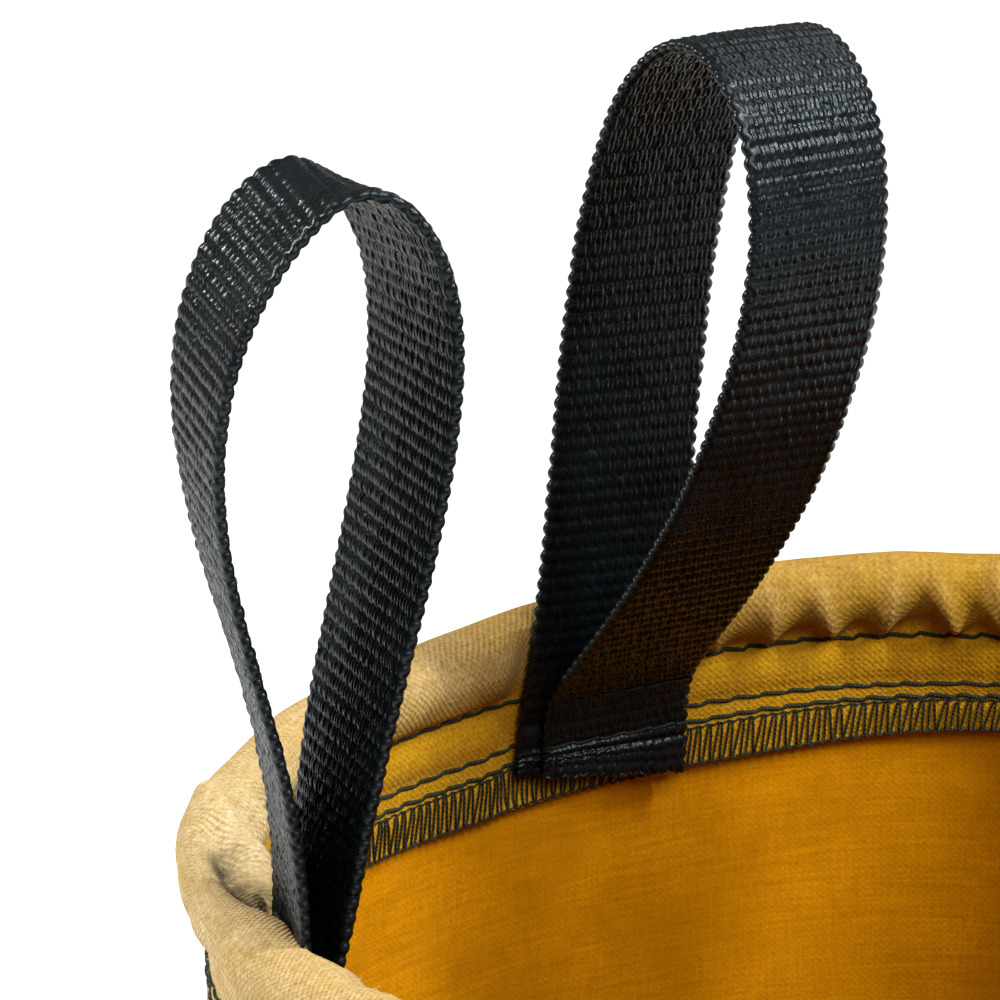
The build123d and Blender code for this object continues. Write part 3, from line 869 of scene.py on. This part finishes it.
def pocket(name, middle, half_angle, depth, floor, top, inward, seed):
    """A full pocket: round front, sewn edges, turned-under floor, and tape over its mouth."""
    sew = (FOOT_RADIUS - CLOTH - 0.2) if inward else (FOOT_RADIUS + 0.2)
    s = -1.0 if inward else 1.0
    edge_r = sew + s * 1.4
    half_chord = edge_r * sin(radians(half_angle))
    edge_x = edge_r * cos(radians(half_angle))
    rise = abs((sew + s * depth) - edge_x)
    radius = (half_chord**2 + rise**2) / (2 * rise)
    beta = acos(max(-1.0, (radius - rise) / radius))
    b = np.linspace(-beta, beta, 61)
    x = (sew + s * depth) - s * radius * (1 - np.cos(b))
    y = radius * np.sin(b)
    front_angle, front_off = np.arctan2(y, x), (np.hypot(x, y) - sew) * s
    flange = np.radians(np.linspace(half_angle + 3.3, half_angle + 0.2, 6))
    phi = np.concatenate([-flange, front_angle, flange[::-1]])
    off = np.concatenate([np.full(6, 1.4), front_off, np.full(6, 1.4)])
    full = (off - 1.4) / (depth - 1.4)
    theta = phi + radians(middle)

    lower = floor + np.linspace(0.3, 1, 12) ** 1.5 * 14
    upper = [np.linspace(floor + 17, top - 12, 24), np.linspace(top - 10, top, 7)]
    z = np.concatenate([np.full(7, floor), lower, *upper])
    under = np.concatenate([np.linspace(0, 1, 7), np.ones(len(z) - 7)])
    z[:7] = z[:7] - 0.6 * (1 - under[:7])
    TH, Z = np.meshgrid(theta, z, indexing="ij")
    high = np.clip((np.minimum(Z, top - 12) - floor) / (top - floor), 0, 1)
    bulge = 1 + 0.10 * np.sin(pi * high) - 0.05 * high
    corner = 1 - 0.16 * (1 - smooth(Z, floor, floor + 12)) * (under[None] > 0.99)
    fold = noise(TH / (2 * pi) * 46, np.minimum(Z, top - 12) / 52, 46, seed) * 1.3
    fold = fold + noise(TH / (2 * pi) * 110, np.minimum(Z, top - 12) / 24, 110, seed + 1) * 0.4
    reach = 1.4 + ((off - 1.4)[:, None] * bulge * corner + full[:, None] * fold) * under[None]
    reach = np.where(full[:, None] > 0.002, reach, 1.4 * np.where(under[None] < 0.99, 0.9, 1))
    reach[:, 0] = np.where(full > 0.002, -0.4, reach[:, 0])  # the floor is sewn down to the wall
    base = wall_radius(TH, np.minimum(Z, top - 12)) - (CLOTH if inward else 0)
    r = base + s * (0.2 + reach)
    face = polar(r, TH, Z)
    normal = grid_normals(face, False)
    facing = np.sign((normal * polar(s, TH, 0)).sum(-1).mean())
    normal = normal * facing
    back = face - 1.3 * normal
    u = run_along(face[:, -1])
    v = run_along(face[len(u) // 2])
    points, quads = thicken(face, back)
    if facing * s < 0 or inward:
        quads = quads[:, ::-1]
    body = make_mesh(f"{name}_cloth", points, quads, canvas_inside_shaded if inward else canvas, sheet_uv(u, v))
    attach(body, "bucket")
    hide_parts(name)

    lip = face[:, -1]
    lip_off = unit(normal[:, -1] * np.array([1, 1, 0]))
    ring = lip[:, None] + TAPE_SECTION[None, :, :1] * lip_off[:, None] + TAPE_SECTION[None, :, 1:] * UP
    columns = ring.shape[1]
    quads = grid_quads(len(lip), columns, False, True)
    caps = np.array([[r * columns + a for a in quad] for r in (0, len(lip) - 1) for quad in TAPE_ENDS])
    uv = np.concatenate([grid_uv(u, run_round(TAPE_SECTION)), np.zeros((caps.size, 2))])
    edge = make_mesh(f"{name.replace('pocket', 'tape')}_binding", ring, np.concatenate([quads, caps]), tape, uv)
    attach(edge, "bucket")
    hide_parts(name.replace("pocket", "tape"))

    lines = Bag()
    dashes(lines, lip + lip_off * 1.0 - UP * 9.4, lip_off)
    rows = (z > floor + 1) & (z < top - 12)
    for k in (2, len(theta) - 3, 4, len(theta) - 5):
        dashes(lines, face[k, rows], normal[k, rows])
    lines = lines.make(f"{name}_sewing", thread)
    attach(lines, "bucket")


for index, name in enumerate(("right", "back", "left", "front")):
    pocket(f"outer_pocket_{name}", 90 * index, 27.0, 18.0, 28.0, 158.0, False, 200 + 5 * index)
    pocket(f"inner_pocket_{name}", 90 * index, 24.0, 13.5, 60.0, 160.0, True, 300 + 5 * index)
for index, name in enumerate(("back_right", "back_left", "front_left", "front_right")):
    pocket(f"sleeve_pocket_{name}", 45 + 90 * index, 9.5, 16.0, 28.0, 138.0, False, 400 + 5 * index)


# ---- base ------------------------------------------------------------------------------------------
def disc(name, low, thickness, seed, node, wave):
    """A round canvas sheet with a slightly uneven top face."""
    theta = np.radians(np.arange(0, 360, 2.0))
    r = np.concatenate([[0.01], np.linspace(3, 105.1, 46)])
    TH, R = np.meshgrid(theta, r, indexing="ij")
    x, y = R * np.cos(TH), R * np.sin(TH)
    lumps = wave * (0.5 + 0.5 * noise((x + 110) / 24, (y + 110) / 24, 97, seed))
    top = np.stack([x, y, low + thickness + lumps], -1)
    under = np.stack([x, y, low + 0.25 * lumps], -1)
    points, quads = thicken(top, under, True)
    uv = np.stack([points[..., 0], points[..., 1]], -1).reshape(-1, 2)[quads.ravel()]
    piece = make_mesh(name, points, quads, canvas_inside_shaded, uv)
    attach(piece, "bucket")
    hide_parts(node)
    return piece


bottom = disc("canvas_bottom", 0.0, 1.4, 81, "bottom_panel", 0.1)
lining = disc("bottom_lining_cloth", 4.75, 1.15, 82, "bottom_lining", 0.6)

base_lines = Bag()
ring_line = polar(100.5, np.radians(np.arange(0, 361, 1.5)), 6.25)
dashes(base_lines, ring_line, np.broadcast_to(UP, ring_line.shape), lift=0.15)

around = np.radians(np.arange(0, 360, 1.0))
foot_section = np.array(
    [(0.12, 0.35), (1.1, 0.05), (1.55, 0.5), (1.62, 9), (1.52, 17.4), (1.15, 17.9), (0.12, 17.9), (0.1, 9)]
)
foot_r = wall_radius(around, 0 * around + 9)
flutter = 0.12 * noise(around[:, None] / (2 * pi) * 60, foot_section[:, 1] / 6, 60, 84)
ring = polar(foot_r[:, None] + foot_section[:, 0] + flutter, around[:, None], foot_section[:, 1])
foot_tape = make_mesh(
    "foot_binding", ring, grid_quads(360, len(foot_section), True, True)[:, ::-1], tape,
    grid_uv(np.arange(361) * 1.885, run_round(foot_section)).reshape(-1, 4, 2)[:, ::-1].reshape(-1, 2),
)
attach(foot_tape, "bucket")
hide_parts("bottom_binding")
for up in (3.0, 15.2):
    line = polar(foot_r + 1.62, around, up)
    line = np.vstack([line, line[:1]])
    dashes(base_lines, line, unit(line * np.array([1, 1, 0])), lift=0.1)

# tape over the wall's upright seam, inside
z_line = np.linspace(7.2, 219.0, 90)
t_line = np.linspace(-8.0, 8.0, 13)
Z, T = np.meshgrid(z_line, t_line, indexing="ij")
theta = radians(45) + T / 105.0
wobble = 0.15 * noise(Z / 14, T / 5, 97, 86)
seam_r = wall_radius(theta, Z) - CLOTH - 0.15
seam_face = polar(seam_r - 1.0 + wobble, theta, Z)
points, quads = thicken(seam_face, polar(seam_r, theta, Z))
seam = make_mesh("seam_tape", points, quads, tape, sheet_uv(z_line, t_line))
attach(seam, "bucket")
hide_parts("side_seam_tape")
for k in (2, 10):
    inward = -unit(seam_face[:, k] * np.array([1, 1, 0]))
    dashes(base_lines, seam_face[:, k], inward, lift=0.1)
base_lines = base_lines.make("base_sewing", thread)
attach(base_lines, "bucket")

# ---- loose fibres standing off the cloth -----------------------------------------------------------
fuzz = Bag()
count = 4200
fuzz_theta = np.radians(np.concatenate([rng.uniform(165, 240, 2600), rng.uniform(0, 360, count - 2600)]))
fuzz_run = rng.uniform(-34, 20, count)
roots, normals = on_canvas(fuzz_theta, fuzz_run, np.full(count, -0.05))
sideways = unit(rng.normal(0, 1, (count, 3)))
length = rng.gamma(2.2, 0.27, count)
t = np.linspace(0, 1, 5)[None, :, None]
curve = roots[:, None] + length[:, None, None] * (t * (normals * 0.55)[:, None] + t**1.6 * 0.75 * sideways[:, None])
curl = np.sin(t * pi * rng.uniform(0.5, 2, (count, 1, 1)))
curve = curve + 0.2 * length[:, None, None] * curl * unit(rng.normal(0, 1, (count, 1, 3)))
taper = np.array([0.022, 0.02, 0.018, 0.014, 0.006])
for k in range(count):
    across = np.broadcast_to(unit(np.cross(normals[k], sideways[k])), (5, 3))
    fuzz.add(*tube(curve[k], across, taper, 3))
fuzz = fuzz.make("canvas_fuzz", fibre)
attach(fuzz, "bucket")

# ---- carried-over CAD parts ------------------------------------------------------------------------
for node in ("base_board",):
    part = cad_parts[node]
    part.data.materials.clear()
    part.data.materials.append(board_plastic)

# ---- stage, light and camera -------------------------------------------------------------------------
floor_look = plain_material("floor", (0.90, 0.90, 0.90), (0.93, 0.93, 0.93), 0.02, 0.7, 0.8, 0.01)
floor_mesh = bpy.data.meshes.new("floor")
size = 14.0
floor_mesh.from_pydata([(-size, -size, 0), (size, -size, 0), (size, size, 0), (-size, size, 0)], [], [(0, 1, 2, 3)])
floor_mesh.materials.append(floor_look)
floor = bpy.data.objects.new("floor", floor_mesh)
bpy.context.scene.collection.objects.link(floor)

world = bpy.data.worlds.new("studio")
bpy.context.scene.world = world
world.use_nodes = True
world.node_tree.nodes["Background"].inputs[0].default_value = (1.0, 1.0, 1.0, 1)
world.node_tree.nodes["Background"].inputs[1].default_value = 0.19

# the camera looks down at the rim from in front, a little to the right
azimuth, elevation, distance, roll = radians(20.2), radians(24.0), 1.7, radians(0.87)
rim_centre = Vector((0, 0, 0.254))
far = Vector((-sin(azimuth), cos(azimuth), 0))
right = Vector((cos(azimuth), sin(azimuth), 0))
axis = far * cos(elevation) + Vector((0, 0, -sin(elevation)))
cam_up = far * sin(elevation) + Vector((0, 0, cos(elevation)))
position = rim_centre - axis * distance
aim = rim_centre - right * 0.0654 + cam_up * 0.0501
look = (aim - position).normalized()
turned_up = cam_up * cos(roll) - right * sin(roll)
cam_x = look.cross(turned_up).normalized()
cam_y = cam_x.cross(look).normalized()
camera_data = bpy.data.cameras.new("camera")
camera_data.lens = 411.6
camera_data.sensor_width = 36.0
camera_data.clip_start, camera_data.clip_end = 0.05, 60
camera = bpy.data.objects.new("camera", camera_data)
bpy.context.scene.collection.objects.link(camera)
camera.matrix_world = Matrix(
    [(cam_x[i], cam_y[i], -look[i], position[i]) for i in range(3)] + [(0, 0, 0, 1)]
)
bpy.context.scene.camera = camera


def softbox(name, direction, reach, width, height, watts, colour=(1, 1, 1), target=(0, 0, 0.28)):
    """A rectangular studio light, aimed at the loops unless told otherwise."""
    data = bpy.data.lights.new(name, "AREA")
    data.shape = "RECTANGLE"
    data.size, data.size_y = width, height
    data.energy = watts
    data.color = colour
    light = bpy.data.objects.new(name, data)
    target = Vector(target)
    light.location = target + direction.normalized() * reach
    light.rotation_mode = "QUATERNION"
    light.rotation_quaternion = (target - light.location).to_track_quat("-Z", "Y")
    bpy.context.scene.collection.objects.link(light)


UPWARD = Vector((0, 0, 1))
softbox("key", -right * 1.0 + far * 0.02 + UPWARD * 0.68, 1.6, 0.24, 0.32, 25, (1.0, 0.985, 0.955))
softbox("side", right * 0.8 - far * 0.3 + UPWARD * 0.88, 1.6, 0.09, 1.0, 37, (0.92, 0.97, 1.0))
softbox("fill", right * 0.45 - far * 0.85 + UPWARD * 1.0, 1.7, 0.8, 0.8, 17, (1.0, 0.99, 0.97))
softbox("top", right * 0.5 + far * 0.1 + UPWARD * 1.5, 1.6, 0.12, 0.12, 2.5, (0.95, 0.98, 1.0))
softbox("floor_wash", UPWARD, 1.0, 0.6, 0.6, 4, (1, 1, 1), far * 0.85 + right * 0.45)

bpy.context.scene.view_settings.view_transform = "Standard"
bpy.context.scene.view_settings.look = "None"
